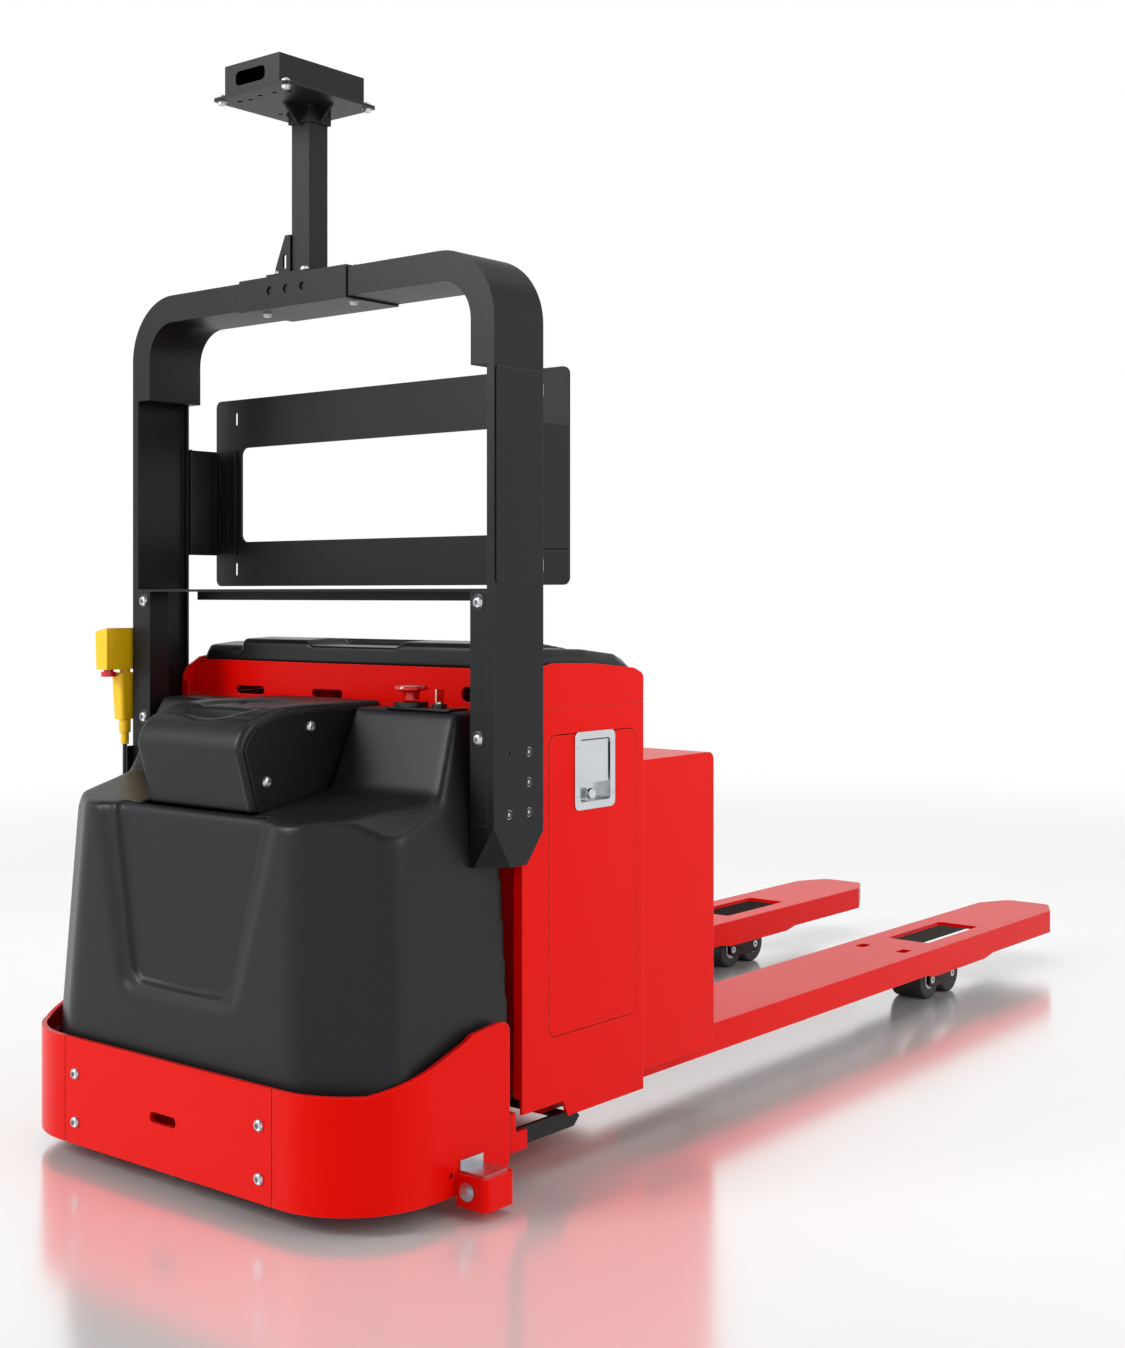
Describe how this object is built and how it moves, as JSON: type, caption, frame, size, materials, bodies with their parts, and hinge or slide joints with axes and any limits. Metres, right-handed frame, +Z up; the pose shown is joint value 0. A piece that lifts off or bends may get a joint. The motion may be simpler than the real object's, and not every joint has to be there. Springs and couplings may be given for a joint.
{
  "type": "autonomous mobile robot",
  "caption": "Self-driving electric pallet truck: red body with two forks, charcoal nose cover, black sheet portal and a mast with a sensor head.",
  "frame": {"origin": "on the floor, at the middle of the truck's outer box", "axes": "+X to the truck's right side, +Y towards the fork tips, +Z up"},
  "size_m": [0.912, 2.405, 1.697],
  "materials": {
    "red_paint": "gloss",
    "black_powder_coat": "satin",
    "charcoal_moulding": "fine grain satin",
    "black_lid_moulding": "satin",
    "black_switch_plastic": "semi-gloss",
    "zinc_steel": "zinc plated",
    "stainless_latch": "polished stainless",
    "chromed_rod": "ground",
    "cast_hub": "painted grey",
    "black_tyre": "matte",
    "stop_red": "gloss",
    "pendant_yellow": "semi-gloss",
    "cable_rubber": "matte",
    "battery_case": "matte",
    "key_metal": "nickel"
  },
  "bodies": {
    "chassis": {"drive_frame": "red_paint", "bumper_front_plate": "red_paint", "bumper_skirt_right": "red_paint", "bumper_skirt_left": "red_paint", "cover": "charcoal_moulding", "steering_hood": "charcoal_moulding", "hood_sides": "black_powder_coat", "console_panel": "black_switch_plastic", "portal_right": "black_powder_coat", "portal_left": "black_powder_coat", "cover_strips": "black_powder_coat", "shelf_plate": "black_powder_coat", "splice_sleeve": "black_powder_coat", "rear_frame": "black_powder_coat", "z_brackets": "black_powder_coat", "mast_post": "black_powder_coat", "mast_foot_bracket": "black_powder_coat", "sensor_plate": "black_powder_coat", "sensor_box": "black_powder_coat", "button_screws": "zinc_steel", "hex_bolts": "zinc_steel", "side_blocks": "red_paint", "side_block_brackets": "zinc_steel", "lift_cylinder": "black_powder_coat", "pendant_holder": "black_powder_coat", "pendant_grip": "pendant_yellow", "pendant_head": "pendant_yellow", "pendant_cable": "cable_rubber"},
    "emergency_stop": {"estop_button": "stop_red"},
    "ignition_key": {"key": "key_metal"},
    "pendant_stop": {"pendant_button": "stop_red"},
    "steering": {"drive_unit": "black_powder_coat"},
    "drive_wheel": {"drive_tyre": "black_tyre", "drive_hub": "cast_hub"},
    "castor_right": {"castor_fork_right": "zinc_steel"},
    "castor_left": {"castor_fork_left": "zinc_steel"},
    "castor_roll_right": {"castor_wheel_right": "black_tyre"},
    "castor_roll_left": {"castor_wheel_left": "black_tyre"},
    "carriage": {"battery_box": "red_paint", "battery_hood": "red_paint", "battery_lid": "black_lid_moulding", "battery_pack": "battery_case", "rear_box": "red_paint", "fork_frame": "red_paint", "fork_right": "red_paint", "fork_left": "red_paint", "lift_rod": "chromed_rod"},
    "door": {"side_door": "red_paint", "latch_plate": "stainless_latch"},
    "latch": {"latch_paddle": "stainless_latch"},
    "rocker_shaft": {"rocker": "black_powder_coat"},
    "pull_linkage": {"pull_rods": "zinc_steel"},
    "arm_right": {"load_arm_right": "red_paint"},
    "arm_left": {"load_arm_left": "red_paint"},
    "bogie_body_right": {"bogie_right": "red_paint"},
    "bogie_body_left": {"bogie_left": "red_paint"},
    "roller_front_right": {"load_roller_front_right": "black_tyre"},
    "roller_front_left": {"load_roller_front_left": "black_tyre"},
    "roller_rear_right": {"load_roller_rear_right": "black_tyre"},
    "roller_rear_left": {"load_roller_rear_left": "black_tyre"}
  },
  "joints": [
    {"name": "lift", "type": "slide", "parent": "chassis", "child": "carriage", "axis": [0, 0, 1], "range_m": [-0.04, 0.072]},
    {"name": "steer", "type": "hinge", "parent": "chassis", "child": "steering", "pos_m": [0, -1.0125, 0.3], "axis": [0, 0, 1], "range_deg": [-90, 90]},
    {"name": "drive_spin", "type": "hinge", "parent": "steering", "child": "drive_wheel", "pos_m": [0, -1.0125, 0.115], "axis": [1, 0, 0], "continuous": true},
    {"name": "castor_swivel_right", "type": "hinge", "parent": "chassis", "child": "castor_right", "pos_m": [0.24, -0.9655, 0.14], "axis": [0, 0, 1], "continuous": true},
    {"name": "castor_spin_right", "type": "hinge", "parent": "castor_right", "child": "castor_roll_right", "pos_m": [0.24, -0.9355, 0.05], "axis": [1, 0, 0], "continuous": true},
    {"name": "castor_swivel_left", "type": "hinge", "parent": "chassis", "child": "castor_left", "pos_m": [-0.24, -0.9655, 0.14], "axis": [0, 0, 1], "continuous": true},
    {"name": "castor_spin_left", "type": "hinge", "parent": "castor_left", "child": "castor_roll_left", "pos_m": [-0.24, -0.9355, 0.05], "axis": [1, 0, 0], "continuous": true},
    {"name": "estop_press", "type": "slide", "parent": "chassis", "child": "emergency_stop", "axis": [0, 0, -1], "range_m": [0, 0.006], "stiffness_N_per_m": 1200, "springref_m": -0.003},
    {"name": "key_turn", "type": "hinge", "parent": "chassis", "child": "ignition_key", "pos_m": [0.28, -0.9075, 0.71], "axis": [0, 0, -1], "range_deg": [0, 90]},
    {"name": "pendant_press", "type": "slide", "parent": "chassis", "child": "pendant_stop", "axis": [0, 0, 1], "range_m": [0, 0.003], "stiffness_N_per_m": 1200, "springref_m": -0.002},
    {"name": "door_hinge", "type": "hinge", "parent": "carriage", "child": "door", "pos_m": [0.39, -0.6775, 0.2045], "axis": [0, 1, 0], "range_deg": [0, 95]},
    {"name": "latch_pull", "type": "hinge", "parent": "door", "child": "latch", "pos_m": [0.387, -0.6755, 0.641], "axis": [0, -1, 0], "range_deg": [0, 40], "stiffness_Nm_per_rad": 0.6, "springref_deg": -17.19},
    {"name": "rocker_turn", "type": "hinge", "parent": "carriage", "child": "rocker_shaft", "pos_m": [0, -0.7035, 0.064], "axis": [1, 0, 0], "range_deg": [-17, 29.5]},
    {"name": "rod_pull", "type": "slide", "parent": "carriage", "child": "pull_linkage", "axis": [0, 1, 0], "range_m": [-0.009, 0.006]},
    {"name": "arm_swing_right", "type": "hinge", "parent": "carriage", "child": "arm_right", "pos_m": [0.255, 0.4849, 0.099], "axis": [1, 0, 0], "range_deg": [-25, 14]},
    {"name": "bogie_tilt_right", "type": "hinge", "parent": "arm_right", "child": "bogie_body_right", "pos_m": [0.255, 0.6685, 0.05], "axis": [1, 0, 0], "range_deg": [-14, 25]},
    {"name": "roller_spin_front_right", "type": "hinge", "parent": "bogie_body_right", "child": "roller_front_right", "pos_m": [0.255, 0.6225, 0.042], "axis": [1, 0, 0], "continuous": true},
    {"name": "roller_spin_rear_right", "type": "hinge", "parent": "bogie_body_right", "child": "roller_rear_right", "pos_m": [0.255, 0.7145, 0.042], "axis": [1, 0, 0], "continuous": true},
    {"name": "arm_swing_left", "type": "hinge", "parent": "carriage", "child": "arm_left", "pos_m": [-0.255, 0.4849, 0.099], "axis": [1, 0, 0], "range_deg": [-25, 14]},
    {"name": "bogie_tilt_left", "type": "hinge", "parent": "arm_left", "child": "bogie_body_left", "pos_m": [-0.255, 0.6685, 0.05], "axis": [1, 0, 0], "range_deg": [-14, 25]},
    {"name": "roller_spin_front_left", "type": "hinge", "parent": "bogie_body_left", "child": "roller_front_left", "pos_m": [-0.255, 0.6225, 0.042], "axis": [1, 0, 0], "continuous": true},
    {"name": "roller_spin_rear_left", "type": "hinge", "parent": "bogie_body_left", "child": "roller_rear_left", "pos_m": [-0.255, 0.7145, 0.042], "axis": [1, 0, 0], "continuous": true}
  ],
  "couplings": [
    {"joint": "rocker_turn", "follows": "lift", "rad_per_m": 6.7},
    {"joint": "rod_pull", "follows": "lift", "ratio": -0.1072},
    {"joint": "arm_swing_right", "follows": "lift", "rad_per_m": -5.65},
    {"joint": "bogie_tilt_right", "follows": "lift", "rad_per_m": 5.65},
    {"joint": "arm_swing_left", "follows": "lift", "rad_per_m": -5.65},
    {"joint": "bogie_tilt_left", "follows": "lift", "rad_per_m": 5.65}
  ]
}
